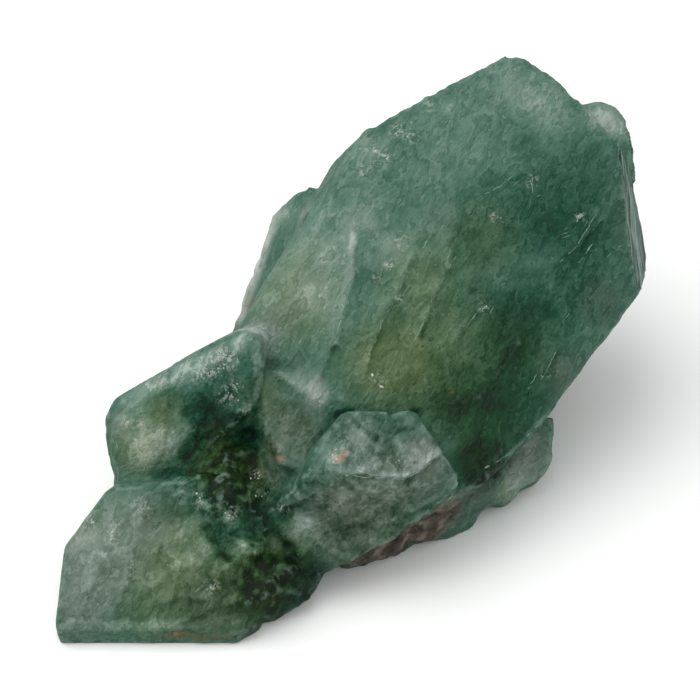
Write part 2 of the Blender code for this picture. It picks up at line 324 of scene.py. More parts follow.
# The middle crystal, the hollow, darkened with painted shade, and the lowest crystal, with a painted shadow
# at its lower right
CHLORITE_AND_PAINTED_LIGHT_SPOTS += [
    (222, 394, 5, -0.20), (226, 372, 3, 0.16), (240, 358, 4, 0.04), (190, 375, 4, 0.14),
    (165, 410, 3, -0.04), (145, 452, 5, 0.42), (175, 440, 4, 0.34), (200, 408, 4, -0.28),
    (140, 425, 4, 0.14), (120, 430, 3, -0.04), (220, 450, 7, -0.32), (240, 480, 6, -0.54),
    (185, 475, 5, -0.26), (200, 487, 5, -0.06), (200, 507, 4, -0.16), (230, 502, 4, -0.18),
    (230, 530, 4, -0.20), (270, 510, 4, -0.30), (250, 440, 4, -0.18), (210, 540, 4, -0.12),
    (130, 520, 7, 0.14), (201, 497, 2.0, 0.24), (231, 512, 2.0, 0.28), (212, 470, 2.5, 0.20),
    (228, 462, 2.0, 0.14), (222, 491, 2.4, -0.24), (221, 512, 1.4, -0.34), (244, 505, 1.8, -0.24),
    (256, 528, 2.6, -0.24), (236, 543, 2.4, 0.10), (261, 566, 2.4, -0.30), (274, 574, 1.4, -0.30),
    (277, 560, 1.8, 0.20), (258, 470, 2.6, 0.24), (272, 486, 2.6, 0.10), (246, 550, 2.0, 0.16),
    (165, 505, 4, -0.18), (100, 560, 8, 0.20), (180, 545, 5, 0.16), (70, 600, 6, 0.08), (160, 575, 4, 0.10),
    (190, 610, 5, -0.16), (235, 600, 6, -0.20), (215, 575, 4, -0.08), (246, 556, 4, 0.16),
    (265, 572, 6, -0.54), (280, 600, 6, -0.40), (300, 580, 5, -0.80),
]
# The front crystal, the matrix and the fragments beside it, with painted shade in the crevice under the
# stout crystal
CHLORITE_AND_PAINTED_LIGHT_SPOTS += [
    (396, 428, 4, -0.08), (425, 447, 4, 0.10), (430, 466, 3, 0.02), (335, 455, 3, 0.30),
    (360, 440, 2.4, 0.14), (386, 446, 3, -0.16), (370, 424, 3, 0.14), (404, 468, 2.4, 0.10),
    (300, 505, 3, -0.14), (330, 522, 3, -0.10), (352, 508, 3, -0.14), (346, 530, 3, -0.12),
    (308, 522, 2.4, 0.16), (455, 482, 2, 0.20), (310, 480, 4, -0.14), (285, 512, 4, -0.16),
    (410, 520, 5, -0.18), (343, 497, 2.5, 0.14), (320, 550, 5, -0.04), (290, 542, 5, 0.12),
    (370, 530, 5, -0.18), (345, 430, 3, -0.14), (528, 450, 6, 0.20), (512, 486, 4, 0.42),
    (380, 488, 4, 0.10), (497, 472, 3, -0.20), (480, 464, 3, -0.34), (280, 530, 4, 0.10),
]

# Where the quartz is yellower
WARM_PLACES = [
    (430, 340, 12, 0.8), (290, 285, 9, 0.65), (140, 445, 6, 0.9), (180, 545, 7, 0.8), (222, 458, 7, 1.0),
    (240, 480, 7, 1.0), (265, 580, 8, 1.0), (505, 492, 3, 0.8), (380, 370, 8, 0.9), (450, 410, 8, 0.4),
    (500, 430, 9, 0.3), (520, 350, 9, 0.4), (480, 240, 8, 0.5), (300, 325, 7, 0.3), (262, 395, 5, 0.6),
    (290, 430, 5, 0.6), (160, 600, 8, 0.8), (230, 600, 8, 0.8), (165, 410, 4, 0.7), (345, 500, 4, 0.4),
    (370, 530, 8, 0.5), (290, 550, 6, 0.5), (420, 270, 7, 0.5), (480, 465, 5, 0.6), (110, 540, 8, 0.3),
]

# Where the quartz is greyer
GREY_PLACES = [
    (380, 450, 9, 0.4), (370, 505, 9, 0.7), (335, 545, 8, 0.5), (430, 480, 6, 0.5), (95, 560, 10, 0.5),
    (75, 610, 7, 0.5), (150, 520, 7, 0.4), (210, 600, 8, 0.4), (310, 500, 6, 0.4), (600, 300, 5, 0.4),
    (562, 372, 4, 0.5), (300, 440, 6, 0.3), (637, 230, 9, 0.5), (530, 460, 7, 0.5), (290, 270, 7, 0.1),
    (290, 425, 5, 0.4), (262, 330, 5, 0.5), (300, 300, 7, 0.1), (428, 452, 4, 0.6), (350, 425, 4, 0.2),
    (480, 495, 5, 0.6),
]

# Where the quartz is milky or frosted; the spots on the first two lines, along the left edge, are partly
# painted
# light: the thin edge glowing where the light from the left comes through it
MILKY_AND_EDGE_GLOW_PLACES = [
    (273, 217, 2.4, 0.6), (267, 235, 2.6, 0.8), (261, 252, 2.6, 0.8), (255, 268, 2.6, 0.8),
    (250, 284, 2.4, 0.7), (245, 300, 2.2, 0.7), (241, 315, 2.0, 0.6), (284, 200, 2.4, 0.3),
    (316, 394, 2.2, 0.6), (306, 380, 2.4, 0.4), (637, 230, 12, 0.2, (-10, 21)), (120, 425, 2.5, 0.3),
    (80, 535, 3.5, 0.4), (358, 440, 2.2, 0.12), (520, 455, 5, 0.2), (343, 495, 1.6, 0.3),
    (440, 215, 3, 0.1), (348, 260, 4, 0.08), (362, 222, 3, 0.2), (390, 247, 2.4, 0.2),
]

# Where iron has stained the stone
RUSTY_PLACES = [
    (250, 303, 2.0, 0.6), (170, 637, 0.8, 0.8), (178, 635, 1.0, 0.9), (187, 634, 0.9, 0.8),
    (196, 637, 0.8, 0.8), (206, 638, 0.8, 0.8), (216, 637, 0.8, 0.7), (227, 637, 0.8, 0.6),
    (272, 448, 2.0, 0.25), (452, 392, 0.4, 1.0),
]

# Where grains of pale orange stone are shut in
OCHRE_PLACES = [(339, 459, 0.8, 1.0), (345, 454, 0.5, 0.9), (280, 459, 0.8, 0.6), (176, 634, 0.5, 0.5)]

# Where the matrix shows
MATRIX_PLACES = [
    (425, 528, 6, 1.2), (393, 548, 5, 1.2), (455, 505, 4.5, 1.0), (360, 562, 4, 1.0), (270, 472, 3, 0.4),
]

# Where the cloudiness is blotchy, in patches a few millimetres across
BLOTCHY_PLACES = [
    (380, 450, 9, 1.0), (370, 515, 10, 1.0), (310, 510, 7, 0.8), (430, 330, 16, 0.3), (200, 570, 9, 0.6),
    (200, 400, 8, 0.7), (225, 480, 8, 0.6), (110, 560, 9, 0.4), (290, 420, 6, 0.5), (560, 300, 9, 0.3),
]

# Where a pale sugary crust has grown
CRUSTED_PLACES = [
    (226, 357, 2.4, 1.0), (212, 370, 1.8, 0.8), (236, 388, 1.6, 0.6), (226, 396, 1.8, 0.6),
    (246, 412, 1.5, 0.6), (198, 374, 1.6, 0.7), (160, 378, 2.0, 0.4), (128, 423, 1.3, 0.9),
    (142, 425, 1.0, 0.8), (150, 447, 1.2, 0.6), (172, 440, 1.0, 0.4), (201, 497, 1.5, 0.45),
    (231, 512, 1.6, 0.5), (213, 505, 2.6, 0.12), (262, 490, 2.0, 0.15), (398, 130, 1.8, 0.7),
    (411, 136, 1.5, 0.8), (385, 158, 1.3, 1.0), (375, 150, 0.9, 0.9), (430, 107, 1.4, 0.6),
    (452, 108, 1.0, 0.5), (362, 170, 1.8, 0.6), (90, 523, 1.4, 0.7), (112, 536, 1.5, 0.6),
    (142, 508, 2.2, 0.5), (134, 566, 1.0, 0.7), (334, 460, 1.2, 1.0), (344, 453, 0.9, 0.8),
    (255, 472, 1.2, 0.5), (278, 449, 1.0, 0.4), (284, 508, 1.1, 0.5), (292, 489, 1.1, 0.6),
    (318, 396, 1.8, 0.6), (182, 494, 2.0, 0.2), (484, 307, 1.0, 0.8), (400, 240, 1.6, 0.6),
    (389, 264, 1.1, 0.9), (376, 277, 0.8, 0.7), (497, 217, 1.3, 0.8), (532, 181, 1.3, 0.6),
    (580, 217, 0.9, 1.0), (212, 588, 1.6, 0.6), (400, 299, 0.8, 0.7), (380, 380, 1.6, 0.4),
    (345, 440, 1.6, 0.4), (400, 462, 2.2, 0.4), (545, 375, 1.0, 0.6),
]

# Steps in the growth, each told upwards or rightwards with its proud side on its left, towards the
# upper-left light, where it is painted paler as painted light, with painted shade at its foot: the places
# that it runs through, then how far its painted light reaches, its height and how much paler it is
STEPS = [
    ((317, 380), (332, 347), (346, 305), (355, 267), (355, 235), 2.2, 0.24, 0.24),
    ((370, 360), (375, 340), (382, 322), (395, 300), (402, 285), (410, 265), 1.5, 0.20, 0.24),
    ((420, 335), (430, 310), (437, 290), (450, 265), (456, 235), 1.5, 0.20, 0.24),
    ((460, 335), (470, 320), (484, 305), (480, 292), 1.2, 0.16, 0.18),
    ((540, 380), (548, 366), (556, 352), 1.0, 0.12, 0.14),
    ((555, 262), (580, 245), (600, 224), 1.2, 0.16, 0.18),
    ((549, 272), (575, 243), (592, 218), 1.2, 0.12, 0.12),
    ((562, 332), (563, 320), (571, 313), 0.9, 0.12, 0.12),
    ((526, 396), (532, 382), (540, 372), 1.0, 0.10, 0.10),
    ((497, 172), (512, 180), (530, 168), 1.2, 0.10, 0.10),
    ((254, 368), (262, 395), (268, 425), (272, 445), (284, 462), 2.0, 0.14, 0.22),
    ((256, 364), (284, 381), (314, 399), 1.2, 0.25, 0.30),
    ((163, 442), (164, 415), (167, 392), 2.4, 0.16, 0.16),
    ((229, 563), (215, 548), (202, 530), 2.0, 0.22, 0.26),
    ((344, 474), (370, 478), (405, 478), (422, 471), (437, 456), 0.8, 0.40, 0.55),
    ((372, 438), (362, 429), (352, 421), 1.0, 0.12, 0.24),
    ((150, 590), (172, 572), (200, 566), 1.4, 0.14, 0.18),
    ((88, 598), (100, 560), (118, 530), 2.4, 0.10, 0.10),
    ((175, 626), (205, 612), (240, 600), 1.2, 0.16, 0.18),
    ((300, 560), (320, 535), (352, 522), 1.6, 0.14, 0.20),
    ((112, 622), (124, 590), (138, 548), (146, 512), 2.0, 0.18, 0.09),
    ((192, 556), (186, 538), (180, 520), 1.6, 0.14, 0.14),
    ((150, 556), (178, 541), (200, 528), 1.2, 0.12, 0.12),
    ((228, 612), (240, 590), (250, 566), 1.4, 0.16, 0.16),
    ((160, 606), (182, 596), (204, 600), 1.2, 0.12, 0.14),
    ((318, 545), (345, 560), (366, 556), 1.2, 0.12, 0.20),
    ((392, 520), (415, 510), (440, 497), 1.2, 0.14, 0.22),
    ((270, 520), (288, 508), (306, 498), 1.2, 0.14, 0.24),
    ((262, 470), (272, 452), (268, 430), 1.2, 0.12, 0.12),
    ((196, 430), (206, 408), (222, 392), 1.4, 0.14, 0.16),
    ((176, 424), (190, 404), (204, 388), 1.2, 0.14, 0.14),
]

# Thin lines of paler or darker stone along edges, joins and cracks, most of them painted light and shade:
# painted shade in the gaps and creases between crystals and under their edges, painted highlights and sheen
# along edges.
# The places, then the width and how much paler
LINES = [
    ((338, 414), (345, 411), (390, 411), (416, 412), 0.7, -0.44),
    ((310, 452), (325, 430), (338, 415), 0.9, -0.34),
    ((416, 412), (437, 442), (457, 477), 0.5, -0.16),
    ((237, 344), (190, 366), (155, 383), (130, 400), 1.7, 0.36),
    ((68, 622), (120, 626), (175, 625), (236, 620), 0.9, 0.26),
    ((550, 411), (512, 452), (482, 470), 0.35, 0.34),
    ((458, 481), (450, 500), (430, 514), (404, 530), 0.4, 0.26),
    ((629, 150), (630, 200), (634, 282), 0.5, 0.30),
    ((305, 205), (306, 214), (303, 222), 0.5, -0.30),
    ((205, 425), (228, 420), (242, 420), 1.2, -0.40),
    ((250, 380), (255, 410), (253, 430), 0.6, -0.20),
    ((248, 432), (249, 460), (254, 490), (264, 520), (290, 548), 1.3, -0.56),
    ((208, 425), (196, 440), (184, 455), 1.1, -0.34),
    ((203, 532), (214, 546), (228, 560), 0.6, -0.30),
    ((352, 414), (360, 430), (372, 438), 0.3, -0.30),
    ((384, 441), (396, 434), (406, 430), 0.3, -0.26),
    ((474, 477), (500, 470), (520, 452), 1.2, -0.60),
    ((246, 634), (284, 612), (318, 586), 1.2, -0.50),
    ((163, 545), (155, 558), (166, 570), 0.35, -0.20),
    ((502, 368), (512, 352), (518, 347), 0.8, -0.24),
    ((115, 483), (150, 480), (176, 470), 0.8, -0.24),
    ((262, 300), (245, 330), (236, 338), 0.6, -0.14),
    ((320, 582), (290, 555), (268, 528), 0.8, -0.20),
]

# Patches on the hidden sides: how strong, the values of a cloud that they fade in between, the width of its
# lumps in millimetres and its seed
HIDDEN_PATCHES = {
    "warmth": (0.8, 0.0, 0.5, 12.0, 72),
    "greyness": (0.7, 0.1, 0.6, 10.0, 73),
    "milk": (0.2, 0.3, 0.7, 7.0, 74),
}


# How far a growth step's edge lies to either side of the line it is told by, in millimetres
STEP_EDGE = (-0.12, 0.22)
# How much darker the painted shade makes a step's foot, to how much paler the painted light makes the step
FOOT_SHADE = 0.6

# The unevenness of the faces: its height and the width of its lumps in millimetres, the seed that it is
# drawn from and how many sizes of lump lie in it
BROAD_WAVES = (0.12, 6.0, 3, 1)
SMALL_WAVES = (0.08, 2.6, 5, 3)
GROWTH_LINES = (0.09, 1.7, 11, 2)
COMBED_GROOVES = (0.12, 0.8, 51, 2)
BROKEN_LUMPS = (1.0, 2.2, 41, 4)
# How many times longer than wide the growth lines and the grooves run
LINES_RUN = 2.2
GROOVES_RUN = 14.0
# How high the matrix's lumps are beside those of broken quartz
MATRIX_LUMPS = 0.4
# How far an edge stands out from what is around it, in millimetres, where chips and wear begin, and where
# they are in full
CHIPPED_EDGE = (0.03, 0.12)
WORN_EDGE = (0.02, 0.10)
# The width of a chip and its depth at most, in millimetres
CHIP_WIDTH = 1.2
CHIP_DEPTH = 0.4


def hidden_side(skin):
    """1 where the photograph doesn't show the stone and 0 where it does, on the whole and not pit by pit."""
    looking = skin.facing
    for _ in range(LEVELLING_PASSES):
        looking = neighbour_mean(looking, skin.edges, skin.count)
    return 1 - ease(*HIDDEN_SEEN, looking @ np.array(camera_axes()[2]))


def step_shape(away, reach):
    """1 on a step's proud side close to it, fading away from it, and 0 on its other side."""
    return ease(*STEP_EDGE, away) * np.exp(-np.maximum(away, 0) / reach)


def growth_steps(skin):
    """How far the steps stand out in millimetres, and the painted light and shade that they and the thin
    lines add.

    Growth doesn't stop evenly, so a step comes and goes along its way, and so does a line.
    """
    risen = np.zeros(len(skin.places))
    paler = np.zeros(len(skin.places))
    broken_up = 0.75 + 0.5 * cloud(skin.places, 1.8, 62)
    for *run, reach, height, change in STEPS:
        away = skin.left_of(run)
        proud, shaded = step_shape(away, reach), step_shape(-away, reach / 2)
        risen += height * proud * broken_up
        paler += change * (proud - FOOT_SHADE * shaded) * broken_up
    faded = 0.7 + 0.5 * cloud(skin.places, 1.2, 63)
    for *run, width, change in LINES:
        paler += change * faded * (1 - ease(0.3, 1, np.abs(skin.left_of(run)) / width))
    return risen, paler


def drawn_out(places, turn, times):
    """The places along a turn's axes, closed up along its X, so that a pattern on them runs on that way."""
    return places @ np.array(turn) / np.array((times, 1, 1))


def swell(places, height, size, seed, octaves):
    """Unevenness of this height, in millimetres."""
    return height * billow(places, size, seed, octaves)


def unevenness(skin, matrix, broken, combed):
    """How far growth and breaking have lifted or sunk each point, in millimetres."""
    places = skin.places
    waves = swell(places, *BROAD_WAVES) + swell(places, *SMALL_WAVES)
    lines = swell(drawn_out(places, growth_turn(), LINES_RUN), *GROWTH_LINES)
    grooves = swell(drawn_out(places, groove_turn(), GROOVES_RUN), *COMBED_GROOVES)
    flaked = np.minimum(0, cloud(places, CHIP_WIDTH, 31) - 0.05)
    chips = CHIP_DEPTH * flaked * ease(*CHIPPED_EDGE, skin.sharp)
    lumps = np.maximum(MATRIX_LUMPS * matrix, broken) * swell(places, *BROKEN_LUMPS)
    return waves + lines * (1 - combed) + grooves * combed + chips + lumps


def shape_skin(skin):
    """The unevenness that growth, breaking and handling leave on quartz, then what its colour follows,
    painted light and shade among it.
    """
    for corner in HEALED_CORNERS:
        skin.melt(*corner)
    skin.refresh()
    places = skin.places
    hidden = hidden_side(skin)
    foot = ease(MATRIX_TOP, MATRIX_TOP / 2, places[:, 2]) * ease(-0.2, 0.2, cloud(places, 8.0, 75))
    matrix = np.clip(skin.total(MATRIX_PLACES) + 0.9 * hidden * foot, 0, 1)
    broken = np.clip(skin.total(BROKEN_PLACES), 0, 1)
    alike = ease(*COMBED_ALIKE, skin.facing @ np.array(face_axes(*COMBED_LOOKS)[2]))
    combed = alike * ease(*COMBED_FROM, places[:, 0])
    risen, paler = growth_steps(skin)
    # The chlorite value is partly painted light and shade: paler towards the light, darker in hollows, gaps
    # and at steps' feet
    chlorite = 0.5 + skin.total(CHLORITE_AND_PAINTED_LIGHT_SPOTS) + 0.24 * hidden * billow(places, 9.0, 71) + paler
    skin.push(risen + unevenness(skin, matrix, broken, combed))
    for name, spots in (
        ("warmth", WARM_PLACES), ("greyness", GREY_PLACES), ("milk", MILKY_AND_EDGE_GLOW_PLACES), ("rust", RUSTY_PLACES),
        ("ochre", OCHRE_PLACES), ("blotchy", BLOTCHY_PLACES), ("crust", CRUSTED_PLACES),
    ):
        values = skin.total(spots)
        if name in HIDDEN_PATCHES:
            most, low, high, size, seed = HIDDEN_PATCHES[name]
            values = values + most * hidden * ease(low, high, cloud(places, size, seed))
        skin.paint(name, values)
    # Stored as chlorite, though it carries the painted light and shade too
    skin.paint("chlorite", np.maximum(chlorite, THICKEST))
    skin.paint("matrix", matrix)
    skin.paint("broken", broken)
    skin.paint("combed", combed)
    skin.paint("worn", ease(*WORN_EDGE, skin.sharp))


def to_linear(code):
    """A colour written as #rrggbb, as the linear red, green, blue and alpha that the shaders take."""
    shares = [int(code[k : k + 2], 16) / 255 for k in (1, 3, 5)]
    return (*[s / 12.92 if s <= 0.04045 else ((s + 0.055) / 1.055) ** 2.4 for s in shares], 1)


def node(tree, kind, inputs=(), **settings):
    """Adds a shader node with its settings, and gives each input a value or the output that feeds it."""
    made = tree.nodes.new("ShaderNode" + kind)
    for name, value in settings.items():
        setattr(made, name, value)
    for socket, value in dict(inputs).items():
        if isinstance(value, bpy.types.NodeSocket):
            tree.links.new(value, made.inputs[socket])
        else:
            made.inputs[socket].default_value = value
    return made


def set_stops(ramp, stops):
    """Gives a colour ramp its stops, as (place, colour), and hands back its colour output."""
    elements = ramp.color_ramp.elements
    while len(elements) > 1:
        elements.remove(elements[-1])
    for k, (place, code) in enumerate(stops):
        stop = elements[0] if k == 0 else elements.new(place)
        stop.position = place
        stop.color = to_linear(code)
    return ramp.outputs[0]


def lumps_per_metre(size):
    """The noise scale whose lumps are about this many millimetres across."""
    return 1 / (size * MM)


# How many terraces lie from the lowest to the highest value of the cloud that they are cut from
TERRACES = 7
# The stone from where the chlorite is thickest to where it is thinnest, in its three casts
PALENESS = (0.0, 0.25, 0.5, 0.7, 0.85, 1.0)
GREENS = ("#032013", "#0d3e2b", "#365b4a", "#547363", "#6f8477", "#98a69c")
OLIVES = ("#071802", "#1d3a0f", "#445937", "#5f7251", "#75856b", "#9aa58d")
GREYS = ("#0f1b11", "#2d3c2f", "#505b4d", "#6c756c", "#818b85", "#9da69f")
# How strongly quartz bends light
QUARTZ_IOR = 1.544
# The depth of the unevenness that is too fine for the mesh, in millimetres
RELIEF_DEPTH = 0.26


def painted_fields(tree):
    """The values painted on the skin, as the shader reads them."""
    names = (
        "chlorite", "warmth", "greyness", "milk", "rust", "ochre", "blotchy", "crust", "matrix", "broken",
        "combed", "worn",
    )
    painted = {name: node(tree, "Attribute", attribute_name=name).outputs["Fac"] for name in names}
    painted["everywhere"] = 1.0
    return painted


def cloud_fields(tree):
    """The clouds that break up every tone: some even in space, some drawn out as the stone grew."""
    place = node(tree, "TexCoord").outputs["Object"]
    # Drawn out a little along the growth lines, a lot along the fine marks, and along the combed grooves
    drawn = []
    for turn, stretch in ((growth_turn(), 1.8), (growth_turn(MARKS_LEAN), 3.2), (groove_turn(), 16)):
        inputs = {"Vector": place, "Rotation": turn.to_euler(), "Scale": (stretch, 1, 1)}
        drawn.append(node(tree, "Mapping", inputs, vector_type="TEXTURE").outputs["Vector"])
    along, far_along, grooved = drawn

    # The width of a cloud's lumps in millimetres, how many sizes of cloud lie in it and how rough it is
    cloudy = {}
    for name, vector, size, detail, roughness in (
        ("drift", place, 5.0, 4, 0.6), ("blotch", place, 2.4, 4, 0.6), ("mottle", along, 1.5, 4, 0.62),
        ("druse", place, 1.2, 3, 0.55), ("grain", place, 0.34, 3, 0.6), ("sliver", far_along, 0.36, 4, 0.65),
        ("ridge", along, 1.1, 4, 0.62), ("comb", grooved, 0.55, 3, 0.6), ("sugar", place, 0.55, 4, 0.7),
        ("terrace", along, 3.2, 4, 0.55),
    ):
        inputs = {"Vector": vector, "Scale": lumps_per_metre(size), "Detail": detail, "Roughness": roughness}
        cloudy[name] = node(tree, "TexNoise", inputs).outputs["Fac"]

    # Growth terraces: each rises slowly and drops off at a crisp edge
    risen = node(tree, "Math", {0: cloudy["terrace"], 1: TERRACES}, operation="MULTIPLY").outputs[0]
    cloudy["terrace"] = node(tree, "Math", {0: risen}, operation="FRACT").outputs[0]
    return cloudy


def paleness(tree, painted, cloudy):
    """How pale the stone is at each place: its painted chlorite with the painted light and shade laid in it,
    shifted by clouds of several sizes.
    """
    pale = painted["chlorite"]
    for name, swing, where in (
        ("drift", 0.30, "everywhere"), ("mottle", 0.30, "everywhere"), ("grain", 0.24, "everywhere"),
        ("sliver", 0.27, "everywhere"), ("terrace", 0.17, "everywhere"), ("blotch", 1.0, "blotchy"),
        ("druse", 0.6, "blotchy"), ("druse", 1.3, "broken"), ("blotch", 0.8, "broken"),
    ):
        shift = node(tree, "Math", {0: cloudy[name], 1: 0.5}, operation="SUBTRACT").outputs[0]
        shift = node(tree, "Math", {0: shift, 1: painted[where]}, operation="MULTIPLY").outputs[0]
        pale = node(tree, "Math", {0: shift, 1: swing, 2: pale}, operation="MULTIPLY_ADD").outputs[0]
    return pale


def stone_colour(tree, painted, cloudy):
    """The clouded green, with each other finish of the stone laid over it in turn."""
    pale = paleness(tree, painted, cloudy)
    ramps = {}
    for name, value, places, codes in (
        ("green", pale, PALENESS, GREENS),
        ("olive", pale, PALENESS, OLIVES),
        ("grey", pale, PALENESS, GREYS),
        ("rock", cloudy["mottle"], (0.32, 0.5, 0.68), ("#1b120d", "#4f463c", "#83776c")),
        ("combing", cloudy["comb"], (0.38, 0.48, 0.60), ("#0b1e15", "#3a544a", "#819a90")),
        ("cream", cloudy["grain"], (0.35, 0.65), ("#8b978d", "#c4c2b7")),
    ):
        ramps[name] = set_stops(node(tree, "ValToRGB", {"Fac": value}), list(zip(places, codes)))

    # Where each finish lies, the cloud that breaks it up, the values that it fades in between, how strongly
    # it covers at most, and its colour
    colour = ramps["green"]
    for where, cloud_name, low, high, most, finish in (
        ("warmth", "drift", 0.0, 0.1, 1.0, ramps["olive"]),
        ("greyness", "drift", 0.0, 0.1, 1.0, ramps["grey"]),
        # Milk, along the left edge partly painted light glowing through the thin edge
        ("milk", "mottle", 0.2, 0.6, 1.0, to_linear("#b0b3ab")),
        ("worn", "druse", 0.45, 0.62, 0.28, to_linear("#8ba397")),
        ("combed", "drift", 0.0, 0.1, 0.85, ramps["combing"]),
        ("matrix", "drift", 0.0, 0.1, 0.95, ramps["rock"]),
        ("crust", "sugar", 0.505, 0.56, 0.9, ramps["cream"]),
        ("rust", "grain", 0.3, 0.55, 0.9, to_linear("#5f4a2a")),
        ("ochre", "grain", 0.2, 0.5, 0.9, to_linear("#b38a64")),
    ):
        inputs = {"Value": cloudy[cloud_name], "From Min": low, "From Max": high, "To Max": most}
        share = node(tree, "MapRange", inputs, interpolation_type="SMOOTHSTEP").outputs[0]
        inputs = {0: share, 1: painted[where]}
        share = node(tree, "Math", inputs, operation="MULTIPLY", use_clamp=True).outputs[0]
        colour = node(tree, "Mix", {0: share, 6: colour, 7: finish}, data_type="RGBA").outputs[2]
    return colour


def stone_relief(tree, painted, cloudy):
    """The relief too fine for the mesh: growth marks all over, grooves, sugary crust and broken stone."""
    height = cloudy["ridge"]
    for name, share, where in (
        ("sliver", 0.60, "everywhere"), ("grain", 0.35, "everywhere"), ("terrace", 0.30, "everywhere"),
        ("comb", 1.2, "combed"), ("sugar", 1.0, "crust"), ("druse", 1.2, "broken"),
    ):
        raised = node(tree, "Math", {0: cloudy[name], 1: painted[where]}, operation="MULTIPLY").outputs[0]
        height = node(tree, "Math", {0: raised, 1: share, 2: height}, operation="MULTIPLY_ADD").outputs[0]
    inputs = {"Strength": 1.0, "Distance": RELIEF_DEPTH * MM, "Height": height}
    return node(tree, "Bump", inputs).outputs[0]


def chlorite_quartz():
    """Quartz clouded by fine chlorite, its faces dulled by growth and handling.

    The green lies within the stone, so it shifts softly, with a crisp edge only where growth stopped at a
    step. Its paleness also carries painted light and shade: lighter towards the upper left, with painted
    shade in hollows, gaps and at the feet of steps. The surface over it has the low satin gloss of glass
    that has been rubbed.
    """
    material = bpy.data.materials.new("chlorite_quartz_clouded")
    material.use_nodes = True
    tree = material.node_tree
    tree.nodes.clear()
    painted = painted_fields(tree)
    cloudy = cloud_fields(tree)
    dulled = {"Value": cloudy["mottle"], "From Min": 0.3, "From Max": 0.7, "To Min": 0.38, "To Max": 0.60}
    surface = node(tree, "BsdfPrincipled", {
        "Base Color": stone_colour(tree, painted, cloudy),
        "Roughness": node(tree, "MapRange", dulled).outputs[0],
        "Normal": stone_relief(tree, painted, cloudy),
        "IOR": QUARTZ_IOR,
        "Specular IOR Level": 0.12,
        "Subsurface Weight": 0.12,
        "Subsurface Radius": (1.0, 1.6, 1.2),
        "Subsurface Scale": 0.8 * MM,
    })
    node(tree, "OutputMaterial", {"Surface": surface.outputs[0]})
    return material


def plain_mineral(name, pale, dark, size, roughness):
    """A plain finish for the small pieces, its tone uneven in lumps this many millimetres across."""
    material = bpy.data.materials.new(name)
    material.use_nodes = True
    tree = material.node_tree
    place = node(tree, "TexCoord").outputs["Object"]
    inputs = {"Vector": place, "Scale": lumps_per_metre(size), "Detail": 3}
    tone = node(tree, "TexNoise", inputs).outputs["Fac"]
    colour = set_stops(node(tree, "ValToRGB", {"Fac": tone}), [(0.38, dark), (0.62, pale)])
    surface = tree.nodes["Principled BSDF"]
    tree.links.new(colour, surface.inputs["Base Color"])
    surface.inputs["Roughness"].default_value = roughness
    surface.inputs["IOR"].default_value = QUARTZ_IOR
    return material


# Broken lips that catch the light, each told by the places it runs through, then its width in millimetres
BRIGHT_LINES = [
    ((355, 262), (346, 305), (332, 347), (317, 380), 0.10),
    ((408, 268), (395, 300), (382, 322), (374, 345), 0.16), ((456, 256), (437, 290), (428, 308), 0.12),
    ((424, 322), (419, 332), (414, 341), 0.24), ((402, 237), (394, 250), (390, 262), 0.16),
    ((402, 257), (394, 261), (386, 264), 0.24), ((475, 195), (490, 192), (500, 186), (512, 176), 0.12),
    ((496, 219), (502, 217), (508, 214), 0.20), ((600, 208), (590, 224), (577, 246), (560, 262), 0.14),
    ((580, 214), (577, 222), 0.26), ((484, 306), (478, 311), (470, 322), (462, 332), 0.16),
    ((556, 352), (549, 366), (541, 380), 0.18), ((570, 313), (564, 320), (562, 330), 0.12),
    ((537, 375), (530, 384), (527, 392), 0.12), ((440, 225), (430, 238), (421, 250), 0.12),
    ((532, 180), (533, 190), (530, 204), (528, 215), 0.14), ((592, 244), (586, 254), (580, 262), 0.14),
    ((303, 336), (298, 345), (294, 352), 0.24), ((360, 170), (372, 164), (384, 159), 0.16),
    ((374, 150), (377, 148), 0.30), ((205, 598), (210, 590), (216, 583), 0.22),
    ((116, 440), (118, 455), (124, 470), 0.18), ((458, 482), (452, 496), (442, 506), (428, 514), 0.2),
    ((132, 560), (134, 568), (133, 574), 0.2),
    ((345, 475), (370, 478), (405, 478), (422, 471), (436, 457), 0.16),
    ((168, 425), (171, 434), (172, 442), 0.16), ((512, 452), (498, 461), (482, 470), 0.16),
    ((550, 411), (535, 428), (520, 444), 0.16), ((283, 505), (280, 512), 0.24),
    ((291, 487), (289, 492), 0.22),
]

# Where short light scratches lie thick: place, reach in pixels, how many, and the way they run in degrees
SCRATCHED_PLACES = [
    (400, 140, 45, 8, 40), (450, 190, 60, 8, 35), (530, 175, 55, 8, 40), (580, 225, 40, 10, 38),
    (440, 250, 60, 6, 52), (500, 280, 55, 4, 45), (600, 275, 30, 4, 30), (380, 500, 50, 4, 30),
    (180, 580, 60, 3, 50), (510, 100, 45, 3, 35),
]
# How wide a scratch is in millimetres and how long in pixels, from and to, and how far it strays in degrees
SCRATCH_WIDTHS = (0.04, 0.08)
SCRATCH_LENGTHS = (2, 9)
SCRATCH_STRAY = 16
# A lip that would span this many millimetres in one step has run off an edge, and isn't made
LONGEST_SPAN = 4

